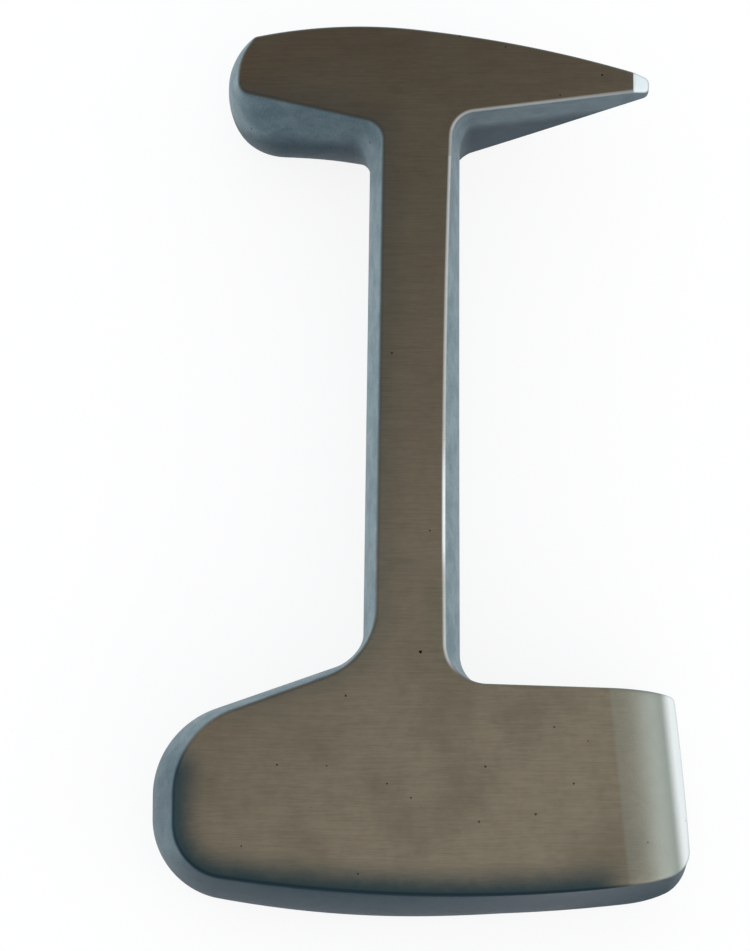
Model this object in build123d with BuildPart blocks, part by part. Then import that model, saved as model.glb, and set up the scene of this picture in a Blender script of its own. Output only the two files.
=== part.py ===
from build123d import *

import os

# Hand anvil: an I-shaped steel casting, held by its shank, with a broad head at one end
# and a small head drawn out to a horn at the other. The real thing is one piece of metal.
# It is cut here at the two ends of its shank, so that each section is one plain closed
# solid, and the sections meet face to face.
#
# Frame, in millimetres: the back ground face lies on Z = 0, X runs across the heads from
# the heels to the toe and the horn, Y runs along the shank to the small head, and the
# origin is under the middle of the casting's box.
#
# The walls are barrelled. Each outline size below is the one at the rim of a ground face,
# and its swell is how far the wall stands out from there at the belly, half way through.

# Whole casting
length = 191.6
broad_width = 113.4
thickness = 36.0
rim_roll = 1.2

# Shank
shank_width = 14.6
shank_axis_x = -1.6
shank_swell = 2.8
shank_lean = 0.8
shank_hollow = 0.2
shank_head_flare = 1.2

# Sole, the crowned working face of the broad head
sole_swell = 1.2
sole_back_inset = 1.3
sole_apex_x = 4.0
sole_fall_heel = 5.6
sole_fall_heel_swell = 1.6
sole_fall_toe = 4.0
sole_fall_toe_swell = 3.2

# Broad head
broad_heel_swell = 4.8
broad_heel_radius = 19.0
broad_heel_foot_radius = 12.0
broad_heel_foot_radius_swell = 5.0
shoulder_rise = 51.6
shoulder_heel_drop = 15.6
shoulder_heel_swell = 2.8
shoulder_heel_fillet = 16.0
shoulder_heel_fillet_swell = -9.0
shoulder_root_drop = 5.1
shoulder_toe_drop = 8.4
shoulder_toe_swell = 1.2
shoulder_toe_fillet = 8.6
shoulder_toe_fillet_swell = 0.8

# Toe, the square end of the broad head
toe_lean = 2.9
toe_foot_overrun = 0.6
toe_foot_radius = 8.0
toe_shoulder_radius = 1.5
nose_length = 14.5
nose_blunt = 6.0

# Small head
crown_swell = 2.1
crown_apex_x = -12.5
crown_fall_heel = 2.8
crown_turn_x = 2.0
crown_turn_fall = 0.85
small_heel_reach = 37.3
small_heel_swell = 2.8
small_heel_radius = 5.0
small_heel_radius_swell = 8.5
small_heel_crown_radius = 4.0
small_heel_crown_radius_swell = 5.5
underside_depth = 23.6
underside_swell = 1.7
underside_heel_lift = 7.1
underside_heel_lift_swell = -7.2
underside_fillet = 4.4

# Horn
horn_reach = 50.7
horn_crown_fall = 13.3
horn_tip_height = 3.0
horn_tip_thickness = 4.6
horn_tip_radius = 1.3
horn_root_depth = 21.6
horn_root_fillet = 5.4
horn_root_fillet_swell = -2.4
horn_back_radius = 12.0

# Places worked out from the sizes above
sole_y = -length / 2
crown_y = length / 2
toe_x = broad_width / 2
horn_tip_x = shank_axis_x + horn_reach
shoulder_y = sole_y + shoulder_rise
underside_y = crown_y - underside_depth
horn_root_y = crown_y - horn_root_depth
shank_foot_y = shoulder_y + shoulder_heel_fillet
shank_head_y = underside_y - underside_fillet - shank_swell
spare = 6.0


def outline(height, swell, sole_inset):
    """Closed outline at a height: swell is 0 at a ground face and 1 at the belly."""
    sole = sole_y + sole_inset
    crown = crown_y - crown_swell * (1 - swell)
    heel_x = -broad_width / 2 + broad_heel_swell * (1 - swell)
    small_heel_x = shank_axis_x - small_heel_reach - small_heel_swell * swell
    shank_left = shank_axis_x - shank_width / 2 - shank_swell * swell
    shank_right = shank_axis_x + shank_width / 2 + shank_swell * swell
    underside = underside_y - underside_swell * swell
    underside_heel = underside + underside_heel_lift + underside_heel_lift_swell * swell

    toe_foot = (toe_x + toe_foot_overrun, sole + sole_fall_toe + sole_fall_toe_swell * swell)
    heel_foot = (heel_x, sole + sole_fall_heel + sole_fall_heel_swell * swell)
    heel_shoulder = (heel_x, shoulder_y - shoulder_heel_drop + shoulder_heel_swell * swell)
    left_foot = (shank_left - shank_lean, shoulder_y + shoulder_heel_swell * swell)
    left_head = (shank_left + shank_lean, underside)
    small_heel_foot = (small_heel_x, underside_heel)
    small_heel_crown = (small_heel_x, crown - crown_fall_heel)
    crown_turn = (crown_turn_x, crown - crown_turn_fall)
    horn_crown = (horn_tip_x, crown_y - horn_crown_fall)
    horn_foot = (horn_tip_x, crown_y - horn_crown_fall - horn_tip_height)
    right_head = (shank_right + shank_head_flare * (1 - swell), horn_root_y)
    right_middle = (shank_right - shank_hollow, (horn_root_y + shoulder_y) / 2)
    right_foot = (shank_right, shoulder_y - shoulder_root_drop)
    toe_shoulder = (toe_x - toe_lean, shoulder_y - shoulder_toe_drop + shoulder_toe_swell * swell)

    roundings = (
        (toe_foot, toe_foot_radius),
        (heel_foot, broad_heel_foot_radius + broad_heel_foot_radius_swell * swell),
        (heel_shoulder, broad_heel_radius),
        (left_foot, shoulder_heel_fillet + shoulder_heel_fillet_swell * swell),
        (left_head, underside_fillet),
        (small_heel_foot, small_heel_radius + small_heel_radius_swell * swell),
        (small_heel_crown, small_heel_crown_radius + small_heel_crown_radius_swell * swell),
        (horn_crown, horn_tip_radius),
        (horn_foot, horn_tip_radius),
        (right_head, horn_root_fillet + horn_root_fillet_swell * swell),
        (right_foot, shoulder_toe_fillet + shoulder_toe_fillet_swell * swell),
        (toe_shoulder, toe_shoulder_radius),
    )

    with BuildSketch(Plane.XY.offset(height)) as casting_outline:
        with BuildLine():
            ThreePointArc(toe_foot, (sole_apex_x, sole), heel_foot)
            Polyline(heel_foot, heel_shoulder, left_foot, left_head, small_heel_foot, small_heel_crown)
            crown_arc = ThreePointArc(small_heel_crown, (crown_apex_x, crown), crown_turn)
            TangentArc(crown_turn, horn_crown, tangent=crown_arc % 1)
            Polyline(horn_crown, horn_foot, right_head)
            ThreePointArc(right_head, right_middle, right_foot)
            Polyline(right_foot, toe_shoulder, toe_foot)
        make_face()
        for corner, radius in roundings:
            sharp = casting_outline.vertices().sort_by_distance(Vector(*corner))[0]
            fillet(sharp, radius)
    return casting_outline.sketch


# The toe's own plane: local X points out of the toe, local Y is up, through its slanted line.
toe_foot_point = Vector(toe_x + toe_foot_overrun, sole_y + sole_fall_toe + sole_fall_toe_swell, 0)
toe_shoulder_point = Vector(toe_x - toe_lean, shoulder_y - shoulder_toe_drop + shoulder_toe_swell, 0)
toe_line = toe_foot_point - toe_shoulder_point
toe_plane = Plane(origin=toe_shoulder_point, x_dir=toe_line.rotate(Axis.Z, 90), z_dir=toe_line)
nose_height = (thickness - nose_blunt) / 2

with BuildPart() as casting:
    # The barrelled body, with the rim of each ground face rolled over.
    add(outline(0, 0, sole_swell + sole_back_inset))
    add(outline(thickness / 2, 1, 0))
    add(outline(thickness, 0, sole_swell))
    loft()
    rims = casting.edges().filter_by(Plane.XY).group_by(Axis.Z)
    fillet(rims[0] + rims[-1], rim_roll)

    # The toe is rounded over from both ground faces to a bull nose.
    with BuildSketch(toe_plane):
        with BuildLine():
            back_turn = EllipticalCenterArc((-nose_length, nose_height), nose_length, nose_height, 270, arc_size=90)
            front_turn = EllipticalCenterArc(
                (-nose_length, thickness - nose_height), nose_length, nose_height, 0, arc_size=90
            )
            Line(back_turn @ 1, front_turn @ 0)
            Polyline(
                front_turn @ 1,
                (-nose_length, thickness + spare),
                (spare, thickness + spare),
                (spare, -spare),
                (-nose_length, -spare),
                back_turn @ 0,
            )
        make_face()
    extrude(amount=shoulder_rise, both=True, mode=Mode.SUBTRACT)

    # The back of the horn rises to meet the front ground face at the tip.
    with BuildSketch(Plane.XZ.offset(-horn_root_y)):
        with BuildLine():
            rise = FilletPolyline(
                (shank_axis_x, 0),
                (shank_axis_x + shank_width / 2, 0),
                (horn_tip_x, thickness - horn_tip_thickness),
                radius=horn_back_radius,
            )
            Polyline(
                rise @ 1,
                (horn_tip_x + spare, thickness - horn_tip_thickness),
                (horn_tip_x + spare, -spare),
                (shank_axis_x, -spare),
                rise @ 0,
            )
        make_face()
    extrude(amount=horn_root_depth + spare, both=True, mode=Mode.SUBTRACT)

with BuildPart() as broad_head:
    add(casting.part)
    split(bisect_by=Plane.XZ.offset(-shank_foot_y), keep=Keep.TOP)

with BuildPart() as shank:
    add(casting.part)
    split(bisect_by=Plane.XZ.offset(-shank_foot_y), keep=Keep.BOTTOM)
    split(bisect_by=Plane.XZ.offset(-shank_head_y), keep=Keep.TOP)

with BuildPart() as horn_head:
    add(casting.part)
    split(bisect_by=Plane.XZ.offset(-shank_head_y), keep=Keep.BOTTOM)

broad_head.part.label = "broad_head"
shank.part.label = "shank"
horn_head.part.label = "horn_head"

os.makedirs("parts", exist_ok=True)
export_step(broad_head.part, "parts/broad_head.step")
export_step(shank.part, "parts/shank.step")
export_step(horn_head.part, "parts/horn_head.step")

box = casting.part.bounding_box()
print("casting", casting.part.is_valid, round(casting.part.volume), box.min, box.max)
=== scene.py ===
import math

import bpy
import numpy as np
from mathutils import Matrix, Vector
from mathutils.geometry import delaunay_2d_cdt


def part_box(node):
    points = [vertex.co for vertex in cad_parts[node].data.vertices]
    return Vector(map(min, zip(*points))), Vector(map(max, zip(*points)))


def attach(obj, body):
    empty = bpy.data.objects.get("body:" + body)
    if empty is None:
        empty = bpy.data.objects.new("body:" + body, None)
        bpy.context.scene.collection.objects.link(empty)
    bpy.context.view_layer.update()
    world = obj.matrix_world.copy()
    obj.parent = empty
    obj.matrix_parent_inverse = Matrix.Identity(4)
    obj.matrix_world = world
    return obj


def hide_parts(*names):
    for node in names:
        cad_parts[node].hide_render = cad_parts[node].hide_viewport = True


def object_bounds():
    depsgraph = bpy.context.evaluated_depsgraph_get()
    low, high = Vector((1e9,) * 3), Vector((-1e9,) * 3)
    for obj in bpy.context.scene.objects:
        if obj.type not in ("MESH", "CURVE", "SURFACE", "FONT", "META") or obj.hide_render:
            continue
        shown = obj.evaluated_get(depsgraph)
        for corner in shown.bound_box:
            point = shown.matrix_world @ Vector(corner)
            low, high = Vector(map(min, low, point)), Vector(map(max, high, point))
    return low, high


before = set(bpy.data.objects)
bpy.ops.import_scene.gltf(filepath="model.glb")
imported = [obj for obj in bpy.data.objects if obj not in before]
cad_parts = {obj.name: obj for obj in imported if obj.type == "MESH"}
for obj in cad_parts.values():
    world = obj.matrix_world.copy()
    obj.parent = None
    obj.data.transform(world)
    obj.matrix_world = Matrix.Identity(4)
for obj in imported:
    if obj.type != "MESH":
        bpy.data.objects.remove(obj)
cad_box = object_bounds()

# ---------------------------------------------------------------------------
# The bench: a plain white floor under the casting, an even pale sky, weak soft
# panels beyond its right, its sole and its left, and the camera almost straight
# above, leaning towards the sole.

scene = bpy.context.scene
scene.view_settings.view_transform = "Standard"
centre = (cad_box[0] + cad_box[1]) / 2

camera_elevation = math.radians(77.4)
camera_distance = 1.23

camera = bpy.data.objects.new("camera", bpy.data.cameras.new("camera"))
camera.data.lens = 217
camera.data.sensor_width = 36
camera.data.clip_start = 0.05
camera.location = centre + camera_distance * Vector(
    (0, -math.cos(camera_elevation), math.sin(camera_elevation))
)
camera.rotation_euler = (math.pi / 2 - camera_elevation, 0, 0)
camera.data.shift_x = -0.0478
camera.data.shift_y = -0.0050
scene.collection.objects.link(camera)
scene.camera = camera


def soft_panel(name, place, size, power, colour):
    """A square area light at place, facing the middle of the casting."""
    lamp = bpy.data.lights.new(name, "AREA")
    lamp.size = size
    lamp.energy = power
    lamp.color = colour
    panel = bpy.data.objects.new(name, lamp)
    panel.location = place
    panel.rotation_mode = "QUATERNION"
    panel.rotation_quaternion = (centre - Vector(place)).to_track_quat("-Z", "Y")
    scene.collection.objects.link(panel)


soft_panel("panel_right", (0.75, -0.05, 0.30), 0.6, 1.6, (1.0, 1.0, 1.0))
soft_panel("panel_toe", (0.45, -0.60, 0.80), 0.8, 1.6, (1.0, 0.99, 0.97))
soft_panel("panel_left", (-0.80, 0.10, 0.40), 0.7, 1.6, (0.94, 0.97, 1.0))


def white_where_seen(tree, surface, plain):
    """Shows plain white to the camera and to reflections, and surface to everything else."""
    path = tree.nodes.new("ShaderNodeLightPath")
    seen = tree.nodes.new("ShaderNodeMath")
    seen.operation = "MAXIMUM"
    tree.links.new(path.outputs["Is Camera Ray"], seen.inputs[0])
    tree.links.new(path.outputs["Is Glossy Ray"], seen.inputs[1])
    clear = tree.nodes.new("ShaderNodeMath")
    clear.operation = "MAXIMUM"
    tree.links.new(seen.outputs[0], clear.inputs[0])
    tree.links.new(path.outputs["Is Transmission Ray"], clear.inputs[1])
    mix = tree.nodes.new("ShaderNodeMixShader")
    tree.links.new(clear.outputs[0], mix.inputs["Fac"])
    tree.links.new(surface, mix.inputs[1])
    tree.links.new(plain, mix.inputs[2])
    return mix.outputs[0]


scene.world = bpy.data.worlds.new("studio")
scene.world.use_nodes = True
studio = scene.world.node_tree
studio_light = studio.nodes["Background"]
studio_light.inputs["Color"].default_value = (0.92, 0.96, 1.0, 1.0)
studio_light.inputs["Strength"].default_value = 0.95
studio_white = studio.nodes.new("ShaderNodeBackground")
studio_white.inputs["Color"].default_value = (1.0, 1.0, 1.0, 1.0)
studio.links.new(
    white_where_seen(studio, studio_light.outputs[0], studio_white.outputs[0]),
    studio.nodes["World Output"].inputs["Surface"],
)

floor_half = 3.0
floor_mesh = bpy.data.meshes.new("floor")
floor_mesh.from_pydata(
    [
        (-floor_half, -floor_half, 0),
        (floor_half, -floor_half, 0),
        (floor_half, floor_half, 0),
        (-floor_half, floor_half, 0),
    ],
    [],
    [(0, 1, 2, 3)],
)
floor = bpy.data.objects.new("floor", floor_mesh)
scene.collection.objects.link(floor)

floor_paint = bpy.data.materials.new("white_floor")
floor_paint.use_nodes = True
floor_shader = floor_paint.node_tree.nodes["Principled BSDF"]
floor_shader.inputs["Base Color"].default_value = (0.93, 0.93, 0.93, 1.0)
floor_shader.inputs["Roughness"].default_value = 0.9
floor_shader.inputs["Specular IOR Level"].default_value = 0.1
floor_tree = floor_paint.node_tree
floor_white = floor_tree.nodes.new("ShaderNodeEmission")
floor_seen = floor_tree.nodes.new("ShaderNodeMixShader")
floor_seen.inputs["Fac"].default_value = 0.85
floor_tree.links.new(floor_shader.outputs[0], floor_seen.inputs[1])
floor_tree.links.new(floor_white.outputs[0], floor_seen.inputs[2])
floor_tree.links.new(
    white_where_seen(floor_tree, floor_shader.outputs[0], floor_seen.outputs[0]),
    floor_tree.nodes["Material Output"].inputs["Surface"],
)
floor_mesh.materials.append(floor_paint)

# ---------------------------------------------------------------------------
# Broad head: the large end of the one steel casting, with a round heel on the
# left and a square toe on the right. Its crowned sole is a working face. Its
# walls are blasted and barrelled, and both of its flat faces are belt-ground.

mm = 0.001
low, high = np.array(cad_box[0]) / mm, np.array(cad_box[1]) / mm
thickness = high[2]
middle_z = thickness / 2
foot_cut, head_cut = (corner.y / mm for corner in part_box("shank"))
small_heel_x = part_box("horn_head")[0].x / mm
horn_tip_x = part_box("horn_head")[1].x / mm

FRONT, BELLY, BACK = 0, 1, 2
LEVELS = (FRONT, BELLY, BACK)

shank_foot_y, shank_head_y = -46.0, 73.0
shank_ends = {
    "left": ((-9.6, -8.1), (-12.3, -10.9), (-9.6, -8.1)),
    "right": ((5.4, 6.9), (8.4, 8.5), (5.4, 6.9)),
}
shank_hollow = {"left": (0.0, 0.0, 0.0), "right": (0.75, 0.1, 0.75)}


def shank_edge(level, side, y):
    """x of the shank's edge at y: straight from foot to head, then hollowed as a parabola."""
    t = (np.asarray(y, float) - shank_foot_y) / (shank_head_y - shank_foot_y)
    foot, head = shank_ends[side][level]
    inward = 1 if side == "left" else -1
    return foot + (head - foot) * t + inward * 4 * shank_hollow[side][level] * t * (1 - t)


def shank_row(level, side, y, to=None):
    """A row of an edge path on the shank's edge at y, whose run to another y keeps its hollow."""
    share = 0 if to is None else ((to - y) / (shank_head_y - shank_foot_y)) ** 2
    return (float(shank_edge(level, side, y)), y, 0.0, -share * shank_hollow[side][level])


def rounded_path(rows, steps):
    """Open path through rows of (x, y, radius, bow).
    The run after a row is a parabola that stands off its chord by bow, to the left of travel.
    Each inner row is rounded by a conic whose control point is where the tangents of its two
    runs cross, with the weight that makes it circular. steps holds, for each row, how many
    samples its corner and its run get."""
    rows = np.array(rows, float)
    points, radius, bow = rows[:, :2], rows[:, 2], rows[:-1, 3:]
    run = points[1:] - points[:-1]
    length = np.linalg.norm(run, axis=1)
    side = np.stack([-run[:, 1], run[:, 0]], 1) / length[:, None]

    def at(i, t):
        t = np.asarray(t, float)[..., None]
        return points[i] + run[i] * t + 4 * bow[i] * t * (1 - t) * side[i]

    def heading(i, t):
        d = run[i] + 4 * bow[i] * (1 - 2 * t) * side[i]
        return d / np.linalg.norm(d)

    turn = [math.acos(np.clip(heading(i - 1, 1) @ heading(i, 0), -1, 1)) for i in range(1, len(run))]
    trim = np.array([0, *(radius[i] * math.tan(a / 2) for i, a in enumerate(turn, 1)), 0])
    out = []
    for i in range(len(run)):
        first, last = trim[i] / length[i], 1 - trim[i + 1] / length[i]
        if i:
            leave = 1 - trim[i] / length[i - 1]
            start, end = at(i - 1, leave), at(i, first)
            before, after = heading(i - 1, leave), heading(i, first)
            reach = np.linalg.solve(np.stack([before, -after], 1), end - start)
            control = start + before * reach[0]
            weight = math.cos(math.acos(np.clip(before @ after, -1, 1)) / 2)
            t = np.linspace(0, 1, steps[i][0], endpoint=False)[:, None]
            a, b, c = (1 - t) ** 2, 2 * weight * t * (1 - t), t**2
            out.append((a * start + b * control + c * end) / (a + b + c))
        out.append(at(i, np.linspace(first, last, steps[i][1], endpoint=i == len(run) - 1)))
    return np.concatenate(out)


toe_lean, toe_overrun = 2.9, 0.6
toe_top, toe_bottom = (high[0] - toe_lean, -51.0), (high[0] + toe_overrun, low[1] + 7.2)
toe_swell = 0.6
nose_length = 14.5
nose_blunt = 6.0
sole_inset = (1.2, 0.0, 2.5)
broad_heel_swell = 4.8


def broad_head_edge(level):
    """Edge of the broad head at one level, clockwise from the right of the shank to its left."""
    belly = level == BELLY
    sole = low[1] + sole_inset[level]
    heel = low[0] + (0.0 if belly else broad_heel_swell)
    right_y, left_y = -49.4, (-41.6 if belly else -44.4)
    toe_inset = 0.0 if belly else toe_swell
    rows = (
        shank_row(level, "right", foot_cut, right_y),
        (*shank_row(level, "right", right_y)[:2], 9.4 if belly else 8.6, 0.0),
        (toe_top[0] - toe_inset, toe_top[1], 1.0, 0.35),
        (toe_bottom[0] - 0.42 - toe_inset, sole + (9.2 if belly else 3.6), 5.0, 8.0 if belly else 4.4),
        (heel, sole + (7.2 if belly else 5.6), 17.0 if belly else 12.0, 0.0),
        (heel, -57.2 if belly else -59.8, 19.0, 0.0),
        (*shank_row(level, "left", left_y)[:2], 8.0 if belly else 16.0, 0.0),
        shank_row(level, "left", foot_cut),
    )
    return rounded_path(rows, ((0, 18), (22, 42), (8, 40), (20, 100), (30, 8), (32, 26), (24, 14)))


def smooth(t):
    """0 below 0, 1 above 1, and level at both."""
    t = np.clip(t, 0, 1)
    return t * t * (3 - 2 * t)


# The toe's end, the flat filed across the horn's tip, and the climb of the horn's back.
toe_clearance = 0.3
tip_facet = 3.4
tip_fall = 0.55
tip_thickness = 4.6
climb_root = 6.2
climb_ease = 5.0
climb_rate = (thickness - tip_thickness) / (horn_tip_x - climb_root)
climb_start = 8


def front_height(x, y):
    """Height of the front surface: flat, but falling to the toe's blunt end as a quarter of an
    ellipse, and falling straight over the last of the horn's tip."""
    along = (toe_top[1] - y) / (toe_top[1] - toe_bottom[1])
    toe_x = toe_top[0] + (toe_bottom[0] - toe_top[0]) * along + toe_clearance
    depth = np.clip((toe_x - x) / nose_length, 0, 1)
    nose = middle_z + nose_blunt / 2 + (middle_z - nose_blunt / 2) * np.sqrt(1 - (1 - depth) ** 2)
    tip = thickness - tip_fall * np.clip(x - (horn_tip_x - tip_facet), 0, None)
    return np.where(y < foot_cut, nose, np.where(y > head_cut, tip, thickness))


def back_height(x, y):
    """Height of the back surface: the toe mirrors the front, and behind the horn it climbs from
    the shank's edge to leave a thin tip, with a parabola where the climb starts. The climb grows
    from nothing at the head cut."""
    t = x - climb_root
    eased = np.where(t > -climb_ease, (t + climb_ease) ** 2 / (4 * climb_ease), 0.0)
    climb = np.where(t > climb_ease, t, eased) * climb_rate * smooth((y - head_cut) / climb_start)
    return np.where(y < foot_cut, thickness - front_height(x, y), np.where(y > head_cut, climb, 0.0))


roll = 0.7
roll_rows = 5
wall_rows = 24
margin_width = 6.5


def margin_height(depth, dip):
    """How high a front face is at a depth in from a rim that has dipped: a parabola that is
    level again at the margin's width."""
    return thickness - dip * np.clip(1 - depth / margin_width, 0, 1) ** 2


def out_of(path):
    """Unit vectors out of the casting along a path that runs clockwise. At its two ends they
    are square to the shank, so that whatever is set off from them stays on the cut."""
    along = np.gradient(path, axis=0)
    across = np.stack([-along[:, 1], along[:, 0]], 1)
    across[[0, -1], 1] = 0
    return across / np.linalg.norm(across, axis=1)[:, None]


def fitted(z, xy):
    """Where a height of the plain slab goes once its front and back follow their own heights."""
    front, back = front_height(xy[:, 0], xy[:, 1]), back_height(xy[:, 0], xy[:, 1])
    return back + z * (front - back) / thickness


def wall_grid(edges, dip):
    """The wall as rows of points, from the front face over its rim, down the wall and under
    the back rim, with a column per point of the edge. Each rim is a quarter circle, and the
    wall between is a parabola from rim to belly to rim. dip is how far each column's front rim
    has dropped."""
    front, belly, back = edges
    rim_z = thickness - dip

    def placed(z, inset, outward):
        """A row at a height of the plain slab, set in from the wall. Where the wall stands
        depends on the height that the row ends up at, so the two are settled together."""
        at_z = z
        for _ in range(4):
            up = np.clip((at_z - middle_z) / (rim_z - middle_z), 0, 1)[:, None] ** 2
            down = np.clip((middle_z - at_z) / middle_z, 0, 1)[:, None] ** 2
            xy = belly + (front - belly) * up + (back - belly) * down - outward * inset
            at_z = fitted(z, xy)
        return np.concatenate([xy, at_z[:, None]], 1)

    rows = []
    for angle in np.linspace(0, math.pi / 2, roll_rows):
        inset = roll * (1 - math.sin(angle))
        z = margin_height(inset, dip) - roll * (1 - math.cos(angle))
        rows.append(placed(z, inset, out_of(front)))
    for t in np.linspace(0, 1, wall_rows)[1:-1]:
        rows.append(placed((rim_z - roll) * (1 - t) + roll * t, 0.0, out_of(belly)))
    for angle in np.linspace(math.pi / 2, 0, roll_rows):
        z = np.full(len(back), roll * (1 - math.cos(angle)))
        rows.append(placed(z, roll * (1 - math.sin(angle)), out_of(back)))
    return np.stack(rows)


# How finely the cuts and the ground faces are divided, and the shape of a pit.
cut_steps = 16
lattice_step = 0.9
rim_gap = 0.35
toe_depths = np.array([2.0, 2.35, 2.75, 3.2, 3.7, 4.3, 5.0])
toe_rows_from, toe_rows_to = 52, 89
pit_sides = 10
pit_wobble = 0.18
pit_depth = 0.8
pit_circles = ((1.0, 0.0), (0.75, 0.7), (0.35, 1.0))


def across_cut(wall, following):
    """Columns that cross a cut from the last column of a wall to the first of the next."""
    t = np.linspace(0, 1, cut_steps + 1)[1:-1][None, :, None]
    return wall[:, -1:] * (1 - t) + following[:, :1] * t


def inner_points(ring, rim, drop_of, pits):
    """Points that fill a ground face inside its ring: a triangular lattice, with lines of its
    own along the toe and circles round each pit. pit_circles gives, as shares of a pit's radius
    and depth, how wide and how deep each circle is. Returns the points, how far in from the rim
    each one is, how much the rim nearest to it dips, and how far down a pit it is."""
    least, most = ring.min(0), ring.max(0)
    x = np.arange(least[0], most[0], lattice_step)
    y = np.arange(least[1], most[1], lattice_step * 0.866)  # half the root of 3
    grid = np.stack(np.meshgrid(x, y), -1)
    grid[1::2, :, 0] += lattice_step / 2
    grid = grid.reshape(-1, 2)
    if least[1] < toe_bottom[1]:
        along = np.arange(0.02, 1.0, 0.02)[:, None]
        toe_x = toe_top[0] + (toe_bottom[0] - toe_top[0]) * along - toe_depths
        toe_y = toe_top[1] + (toe_bottom[1] - toe_top[1]) * along
        innermost = np.interp(-grid[:, 1], (toe_rows_from, toe_rows_to), toe_x[[0, -1], -1])
        grid = grid[grid[:, 0] < innermost - 0.5]
        toe_lines = np.stack(np.broadcast_arrays(toe_x, toe_y), -1)
        grid = np.concatenate([grid, toe_lines.reshape(-1, 2)])
    down = np.zeros(len(grid))
    for pit_x, pit_y, pit_radius in pits:
        far = np.hypot(grid[:, 0] - pit_x, grid[:, 1] - pit_y) > pit_radius * 1.25 + 0.15
        grid, down = grid[far], down[far]
        angle = np.linspace(0, 2 * math.pi, pit_sides, endpoint=False)
        for reach, amount in pit_circles:
            spread = pit_radius * reach * (1 + pit_wobble * np.sin(3 * angle + pit_x))
            circle = np.stack([pit_x + spread * np.cos(angle), pit_y + spread * np.sin(angle)], 1)
            grid = np.concatenate([grid, circle])
            down = np.concatenate([down, np.full(pit_sides, amount * pit_radius * pit_depth)])
    start, end = ring, np.roll(ring, -1, 0)
    run = end - start
    offset = grid[:, None] - start
    t = np.clip((offset * run).sum(2) / (run**2).sum(1), 0, 1)
    gap = np.linalg.norm(offset - run * t[..., None], axis=2)
    above = (start[:, 1] > grid[:, 1:]) != (end[:, 1] > grid[:, 1:])
    slope = run[:, 0] / np.where(run[:, 1] == 0, 1, run[:, 1])
    crossings = above & (grid[:, :1] < start[:, 0] + (grid[:, 1:] - start[:, 1]) * slope)
    kept = (crossings.sum(1) % 2 == 1) & (gap.min(1) > rim_gap)
    grid, down, gap = grid[kept], down[kept], np.where(rim, gap, np.inf)[kept]
    return grid, gap.min(1) + roll, drop_of[gap.argmin(1)], down


def fill_cuts(values, on_rim):
    """Per-column values, with those across the cuts drawn straight from side to side."""
    column = np.arange(len(values))
    return np.interp(column, column[on_rim], values[on_rim], period=len(values))


# How far the grinding runs over the rim, row by row, and how far up the walls the painted shade
# stands.
ground_share = (1, 1, 0.8, 0.3)
shade_rise, shade_fade = 15, 12
pit_dark_depth = 0.2


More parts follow.
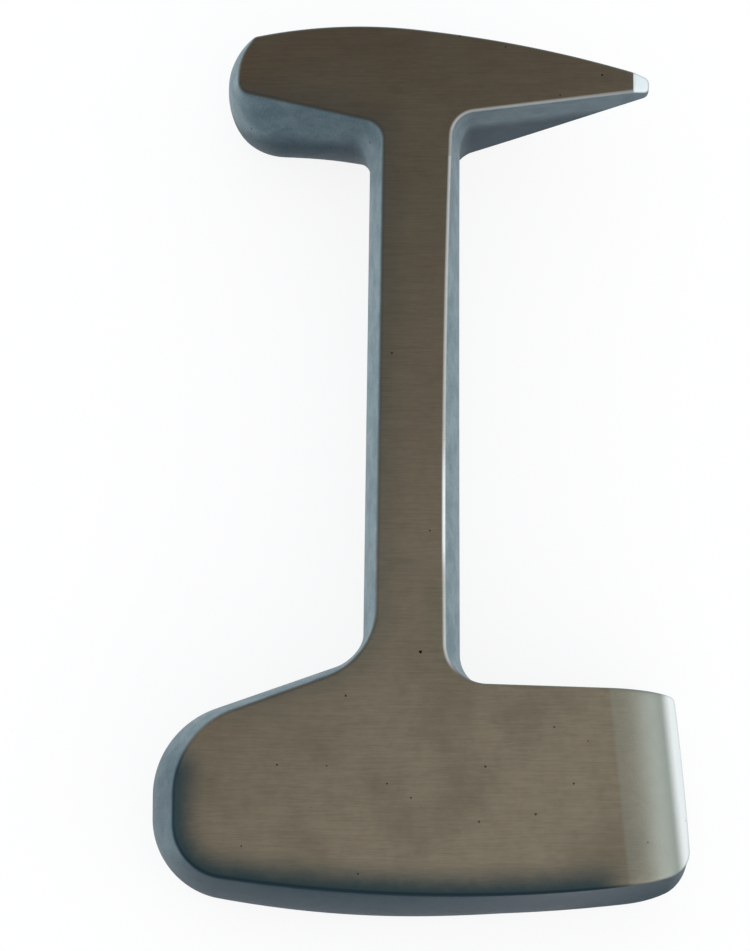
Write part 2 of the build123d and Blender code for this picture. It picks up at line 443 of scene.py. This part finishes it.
def casting_skin(name, node, runs, sole_side_shade, pits):
    """Closed mesh of one section of the casting, over runs of wall, each its edges, its dip, the
    painted shade and the painted highlight along its rim, that follow one another clockwise.
    Crossing the cuts between them makes one tube of columns, and the rings at its two ends are
    filled as the ground faces. The number after the runs is how much painted shade its walls
    get where they face the sole's way."""
    walls = [wall_grid(edges, dip) for edges, dip, dark, highlight in runs]
    joins = [across_cut(a, b) for a, b in zip(walls, walls[1:] + walls[:1])]
    none = np.zeros(cut_steps - 1)
    tube = np.concatenate([part for pair in zip(walls, joins) for part in pair], 1)
    per_column = (
        (dip, dark, highlight, np.clip(-out_of(edges[BELLY])[:, 1], 0, 1), dip * 0 + 1)
        for edges, dip, dark, highlight in runs
    )
    dips, darks, painted_highlights, facing_sole, on_rim = (
        np.concatenate([np.concatenate([values, none]) for values in column])
        for column in zip(*per_column)
    )
    on_wall = on_rim > 0
    darks, painted_highlights = (fill_cuts(values, on_wall) for values in (darks, painted_highlights))
    on_rim = on_wall & np.roll(on_wall, -1)

    rows, columns = tube.shape[:2]
    first = np.arange(columns)
    after = np.roll(first, -1)
    down_rows = np.arange(rows - 1)[:, None] * columns
    quads = np.stack(
        [
            down_rows + first,
            down_rows + after,
            down_rows + columns + after,
            down_rows + columns + first,
        ],
        -1,
    )

    points = [tube.reshape(-1, 3)]
    below = np.cumsum(np.linalg.norm(np.diff(tube, axis=0, prepend=tube[:1]), axis=2), 0)
    to_rim = np.linalg.norm(tube[0, :, None, :2] - tube[0, on_wall, :2], axis=2).min(1)
    depth = [(roll * 0.5 + to_rim - below).reshape(-1)]
    ground_row = np.zeros(rows)
    ground_row[: len(ground_share)] = ground_share
    ground_row[-len(ground_share) :] = ground_share[::-1]
    ground = [np.repeat(ground_row, columns)]
    # Painted shade on the walls: darker below the belly, rising higher and darker where they face the
    # sole's way, and darker where the front rim dips.
    in_lower_half = smooth((middle_z + shade_rise * facing_sole - tube[:, :, 2]) / shade_fade)
    in_upper_half = np.maximum(sole_side_shade * facing_sole, 0.35 * dips)
    wall_painted_shade = [np.maximum(in_upper_half, 0.9 * in_lower_half * (0.5 + 0.5 * facing_sole)).reshape(-1)]
    # Per point, the painted shade and the painted highlight of its rim column.
    painted_rim_shade = [np.tile(darks, rows)]
    rim_painted_highlight = [np.tile(painted_highlights, rows)]
    pitted = [np.zeros(rows * columns)]
    faces = []
    count = rows * columns
    for row, facing in ((0, 1), (rows - 1, -1)):
        ring = tube[row, :, :2]
        own_dips, own_pits = (dips, pits) if facing > 0 else (dips * 0, ())
        grid, in_depth, near_dip, down = inner_points(ring, on_rim, own_dips, own_pits)
        nearest = np.linalg.norm(grid[:, None] - ring, axis=2).argmin(1)
        flat = margin_height(in_depth, near_dip) if facing > 0 else np.zeros(len(grid))
        z = fitted(flat - facing * down, grid)
        points.append(np.concatenate([grid, z[:, None]], 1))
        every = np.concatenate([ring, grid])
        found = delaunay_2d_cdt(every.tolist(), [], [list(range(columns))], 1, 1e-6)
        triangles = np.array(found[2])
        a, b, c = (every[triangles[:, i]] for i in range(3))
        turning = (b[:, 0] - a[:, 0]) * (c[:, 1] - a[:, 1]) - (b[:, 1] - a[:, 1]) * (c[:, 0] - a[:, 0])
        triangles = np.where((turning * facing > 0)[:, None], triangles, triangles[:, ::-1])
        index = np.concatenate([row * columns + first, count + np.arange(len(grid))])
        faces.append(index[triangles])
        depth.append(in_depth)
        ground.append(np.ones(len(grid)))
        painted_rim_shade.append(darks[nearest] * (facing > 0))
        rim_painted_highlight.append(painted_highlights[nearest])
        pitted.append(np.clip(down / pit_dark_depth, 0, 1))
        wall_painted_shade.append(np.zeros(len(grid)))
        count += len(grid)

    mesh = bpy.data.meshes.new(name)
    mesh.from_pydata(
        (np.concatenate(points) * mm).tolist(),
        [],
        quads.reshape(-1, 4).tolist() + np.concatenate(faces).tolist(),
    )
    mesh.shade_smooth()
    for label, values in (
        ("rim_depth", depth), ("ground", ground), ("painted_rim_shade", painted_rim_shade), ("rim_painted_highlight", rim_painted_highlight),
        ("pitted", pitted), ("wall_painted_shade", wall_painted_shade),
    ):
        layer = mesh.attributes.new(label, "FLOAT", "POINT")
        layer.data.foreach_set("value", np.concatenate(values).astype(np.float32))
    mesh.validate()
    mesh.set_sharp_from_angle(angle=math.radians(60))
    mesh.materials.append(cast_steel)
    piece = bpy.data.objects.new(name, mesh)
    scene.collection.objects.link(piece)
    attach(piece, "root")
    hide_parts(node)


def paint(code):
    """Linear colour of a six-digit display colour."""
    parts = (int(code[i : i + 2], 16) / 255 for i in (0, 2, 4))
    return tuple(p / 12.92 if p <= 0.04045 else ((p + 0.055) / 1.055) ** 2.4 for p in parts) + (1.0,)


def add_node(tree, kind, inputs=None, **settings):
    """A shader node of a kind with its settings, its inputs given as values or as outputs."""
    node = tree.nodes.new("ShaderNode" + kind)
    for key, value in settings.items():
        setattr(node, key, value)
    for key, value in (inputs or {}).items():
        if isinstance(value, bpy.types.NodeSocket):
            tree.links.new(value, node.inputs[key])
        else:
            node.inputs[key].default_value = value
    return node


cast_steel = bpy.data.materials.new("cast_steel")
cast_steel.use_nodes = True
steel = cast_steel.node_tree
steel_shader = steel.nodes["Principled BSDF"]
steel_shader.inputs["Metallic"].default_value = 1.0


def read(label):
    """A point attribute of the skins."""
    return add_node(steel, "Attribute", attribute_name=label).outputs["Fac"]


def span(value, from_low, from_high, to_low=0.0, to_high=1.0):
    """A value mapped smoothly, and clamped, from one span to another."""
    inputs = {"Value": value, "From Min": from_low, "From Max": from_high}
    inputs.update({"To Min": to_low, "To Max": to_high})
    return add_node(steel, "MapRange", inputs, interpolation_type="SMOOTHSTEP").outputs[0]


def combine(operation, a, b):
    """One maths step on two values."""
    return add_node(steel, "Math", {0: a, 1: b}, operation=operation).outputs[0]


def blend(amount, a, b, kind="MIX"):
    """Colour b over colour a by an amount."""
    node = add_node(steel, "Mix", {0: amount, 6: a, 7: b}, data_type="RGBA", blend_type=kind)
    return node.outputs[2]


def noise(place, scale, detail=3.0, roughness=0.5):
    """Noise at a place in millimetres, with scale in cells per millimetre."""
    inputs = {"Vector": place, "Scale": scale, "Detail": detail, "Roughness": roughness}
    return add_node(steel, "TexNoise", inputs).outputs[0]


place = add_node(steel, "TexCoord").outputs["Object"]
place = add_node(steel, "VectorMath", {0: place, "Scale": 1000.0}, operation="SCALE").outputs[0]
place_x, place_y = add_node(steel, "SeparateXYZ", {0: place}).outputs[:2]
ground, rim_depth = read("ground"), read("rim_depth")

# Ground faces: brown steel, with painted shade that makes them duller and darker towards the heel and
# the small head, and painted light towards the toe.
along_x = add_node(steel, "Mapping", {"Vector": place, "Scale": (0.05, 1.0, 1.0)}).outputs[0]
streaks = noise(along_x, 2.2, 4.0, 0.6)
fine_streaks = noise(along_x, 7.0, 3.0, 0.6)
clouds = noise(place, 0.045, 3.0, 0.55)
spots = noise(place, 0.35, 4.0, 0.6)
# Painted light and shade: a gradient across the ground faces, lighter towards the toe and darker
# towards the heel and the small head, broken up by the clouds.
painted_light_slant = combine("ADD", combine("MULTIPLY", place_x, 0.9), combine("MULTIPLY", place_y, -1.0))
painted_light_slant = combine("ADD", painted_light_slant, combine("MULTIPLY", combine("SUBTRACT", clouds, 0.5), 70.0))
face_colour = blend(span(painted_light_slant, -110, 110), paint("4b4338"), paint("776f60"))
face_colour = blend(span(clouds, 0.42, 0.68, 0.0, 0.35), face_colour, paint("4e4b41"))
face_colour = blend(span(spots, 0.35, 0.75, 0.0, 0.12), face_colour, paint("37342f"))
grime = blend(1.0, face_colour, span(streaks, 0.3, 0.7, 0.72, 1.25), "MULTIPLY")
face_colour = blend(0.24, face_colour, grime)
grime = blend(1.0, face_colour, span(fine_streaks, 0.3, 0.7, 0.8, 1.18), "MULTIPLY")
face_colour = blend(0.3, face_colour, grime)
toe_rim_slope, toe_rim_x = -0.0943, 48.9  # x = slope * y + toe_rim_x along the toe's rim
toe_depth = combine("ADD", combine("MULTIPLY", place_y, toe_rim_slope), toe_rim_x)
toe_depth = combine("SUBTRACT", toe_depth, place_x)
on_broad_head = span(place_y, -50.0, -45.0, 1.0, 0.0)
# Painted reflection on the toe's rounded end: grey-green over its fall, then a near-white painted
# highlight near its edge.
toe_painted_sheen = span(toe_depth, 13.6, 14.6, 0.25, 0.0)
toe_painted_sheen = combine("ADD", toe_painted_sheen, span(toe_depth, 2.0, 13.0, 0.75, 0.0))
face_colour = blend(combine("MULTIPLY", on_broad_head, toe_painted_sheen), face_colour, paint("848c86"))
toe_painted_highlight = combine("MULTIPLY", on_broad_head, span(toe_depth, 1.0, 3.6, 1.0, 0.0))
face_colour = blend(toe_painted_highlight, face_colour, paint("e6ecec"))
# Painted highlight on the flat filed across the horn's tip.
tip_painted_highlight = span(place_x, horn_tip_x - tip_facet - 0.1, horn_tip_x - tip_facet + 0.1)
tip_painted_highlight = combine("MULTIPLY", tip_painted_highlight, span(place_y, 60.0, 61.0))
face_colour = blend(tip_painted_highlight, face_colour, paint("c8d2d6"))
# Painted shade: a dark margin inside the ground faces' rims where the skins carry rim shade, strongest
# at the rim and ragged by the spots.
painted_rim_shade = read("painted_rim_shade")
margin = combine("MULTIPLY", painted_rim_shade, painted_rim_shade)
ragged = combine("ADD", rim_depth, combine("MULTIPLY", combine("SUBTRACT", spots, 0.5), 2.5))
margin = combine("MULTIPLY", margin, span(ragged, 0.3, 7.5, 1.0, 0.0))
face_colour = blend(margin, face_colour, paint("2c393c"))

# Walls: blue-grey blasted scale, with pale and dark blotches.
grain = noise(place, 3.2, 4.0, 0.65)
patches = noise(place, 0.22, 4.0, 0.6)
wall_colour = blend(span(patches, 0.3, 0.7), paint("768a93"), paint("8c9fa6"))
wall_colour = blend(span(grain, 0.35, 0.8, 0.0, 0.5), wall_colour, paint("44565f"))
# Painted shade on the walls, as the skins carry it.
wall_colour = blend(read("wall_painted_shade"), wall_colour, paint("1d3441"))
# Painted highlight on the walls at the toe's end.
toe_end_painted_highlight = combine("MULTIPLY", on_broad_head, span(toe_depth, -0.4, 0.8, 0.8, 0.0))
wall_colour = blend(toe_end_painted_highlight, wall_colour, paint("c3ccce"))

# Over both: the line along each rim, painted shade on some rims and a painted highlight on others, and
# pits and pores painted dark as their shade.
colour = blend(ground, wall_colour, face_colour)
# Painted shade as a dark line along rims that carry rim shade, and a painted highlight as a bright
# line along rims that carry one.
line = combine("MULTIPLY", span(rim_depth, -0.8, -0.1), span(rim_depth, 0.0, 0.55, 1.0, 0.0))
colour = blend(combine("MULTIPLY", line, combine("MULTIPLY", painted_rim_shade, 0.85)), colour, paint("1b2a32"))
colour = blend(combine("MULTIPLY", line, read("rim_painted_highlight")), colour, paint("d4dadc"))
# Painted shade: the pits and the pores painted dark.
colour = blend(read("pitted"), colour, paint("1c1b19"))
pores = add_node(steel, "TexVoronoi", {"Vector": place, "Scale": 0.16}).outputs["Distance"]
colour = blend(span(pores, 0.035, 0.05, 0.8, 0.0), colour, paint("24221f"))
steel.links.new(colour, steel_shader.inputs["Base Color"])

# The ground faces are smoother than the walls and carry only faint grinding lines.
rough = combine("ADD", span(ground, 0.0, 1.0, 0.52, 0.38), combine("MULTIPLY", spots, 0.1))
steel.links.new(rough, steel_shader.inputs["Roughness"])
relief = combine("MULTIPLY", combine("SUBTRACT", 1.0, ground), grain)
relief = combine("ADD", relief, combine("MULTIPLY", combine("MULTIPLY", ground, fine_streaks), 0.25))
bump = add_node(steel, "Bump", {"Height": relief, "Strength": 0.7, "Distance": 0.0003}).outputs[0]
steel.links.new(bump, steel_shader.inputs["Normal"])

broad_edges = [broad_head_edge(level) for level in LEVELS]
rim_x, rim_y = broad_edges[FRONT].T
sole_dip = 1.1
# How strong the painted shade and the painted highlight along the rims are.
corner_painted_shade = 0.45
rim_highlight_level = 0.45
broad_dip = sole_dip * smooth((50 - rim_x) / 14) * smooth((-57 - rim_y) / 12)
# Painted shade along the heel's rim next to the shank and along the sole's rim where it dips, and a
# painted highlight where the shank's right rim meets the broad head.
broad_painted_shade = corner_painted_shade * smooth((10 - rim_x) / 10) * smooth((rim_y + 62) / 10)
broad_painted_shade = broad_dip / sole_dip + broad_painted_shade
broad_painted_highlight = smooth((rim_x - 2) / 2) * smooth((12 - rim_x) / 4) * smooth((rim_y + 48) / 4)
broad_pits = (
    (0, -43, 0.35), (32, -71, 0.22), (28, -59, 0.2), (-30, -67, 0.22),
    (-7, -71, 0.2), (-2, -74, 0.2), (-13, -90, 0.2),
)
casting_skin(
    "broad_head_skin",
    "broad_head",
    [(broad_edges, broad_dip, broad_painted_shade, rim_highlight_level * broad_painted_highlight)],
    0.95,
    broad_pits,
)

# ---------------------------------------------------------------------------
# Shank: the grip, a bar with barrelled sides that joins the two heads, slightly
# hollow along its right side. Same steel, ground on both flats.

shank_rows = 96
going_up = np.linspace(foot_cut, head_cut, shank_rows)


def shank_run(side, y):
    """A side of the shank as a run of wall, at the levels' edges for each y. Its left rim gets
    painted shade, and its right rim a painted highlight, most of all half way along."""
    edges = [np.stack([shank_edge(level, side, y), y], 1) for level in LEVELS]
    if side == "left":
        return edges, y * 0, y * 0 + corner_painted_shade, y * 0
    return edges, y * 0, y * 0, rim_highlight_level + 0.5 * smooth((y + 27) / 8) * smooth((6 - y) / 14)


shank_pits = ((2, -17, 0.2),)
casting_skin(
    "shank_skin",
    "shank",
    [shank_run("left", going_up), shank_run("right", going_up[::-1])],
    0.0,
    shank_pits,
)

# ---------------------------------------------------------------------------
# Horn head: the small end, a heel with a rounded belly on the left and a horn
# drawn out on the right to a thin tip. Same steel, its crown bowed.

crown_swell = 2.1
small_heel_swell = 2.8
horn_crown_fall = 13.3
horn_tip_height = 3.0
horn_tip_radius = 1.3


def horn_head_edge(level):
    """Edge of the horn head at one level, clockwise from the left of the shank to its right."""
    belly = level == BELLY
    crown = high[1] - (0.0 if belly else crown_swell)
    heel = small_heel_x + (0.0 if belly else small_heel_swell)
    left_y, right_y = (70.5 if belly else 72.2), 74.2
    rows = (
        shank_row(level, "left", head_cut, left_y),
        (*shank_row(level, "left", left_y)[:2], 4.4, 0.0),
        (heel, 70.4 if belly else 79.3, 13.5 if belly else 3.0, 0.0 if belly else 1.5),
        (heel if belly else heel + 3.3, crown - (2.8 if belly else 2.2), 9.5 if belly else 1.5, 1.68),
        (2.0, crown - 0.85, 40.0, 1.2),
        (horn_tip_x, high[1] - horn_crown_fall, horn_tip_radius, 0.0),
        (horn_tip_x, high[1] - horn_crown_fall - horn_tip_height, horn_tip_radius, 0.0),
        (*shank_row(level, "right", right_y, head_cut)[:2], 3.0 if belly else 5.4, 0.0),
        shank_row(level, "right", head_cut),
    )
    return rounded_path(
        rows, ((0, 10), (14, 34), (22, 12), (18, 46), (10, 56), (8, 4), (8, 48), (18, 12))
    )


horn_edges = [horn_head_edge(level) for level in LEVELS]
horn_x, horn_y = horn_edges[FRONT].T
underside = smooth((84 - horn_y) / 3)
# Painted shade along the rim under the small heel towards the shank, and a painted highlight along the
# rim under the horn.
horn_painted_shade = corner_painted_shade * underside * smooth((4 - horn_x) / 8)
horn_painted_highlight = 0.3 * underside * smooth((horn_x + 4) / 8)
horn_pits = ((39, 83, 0.3),)
casting_skin(
    "horn_head_skin",
    "horn_head",
    [(horn_edges, horn_x * 0, horn_painted_shade, horn_painted_highlight)],
    0.45,
    horn_pits,
)
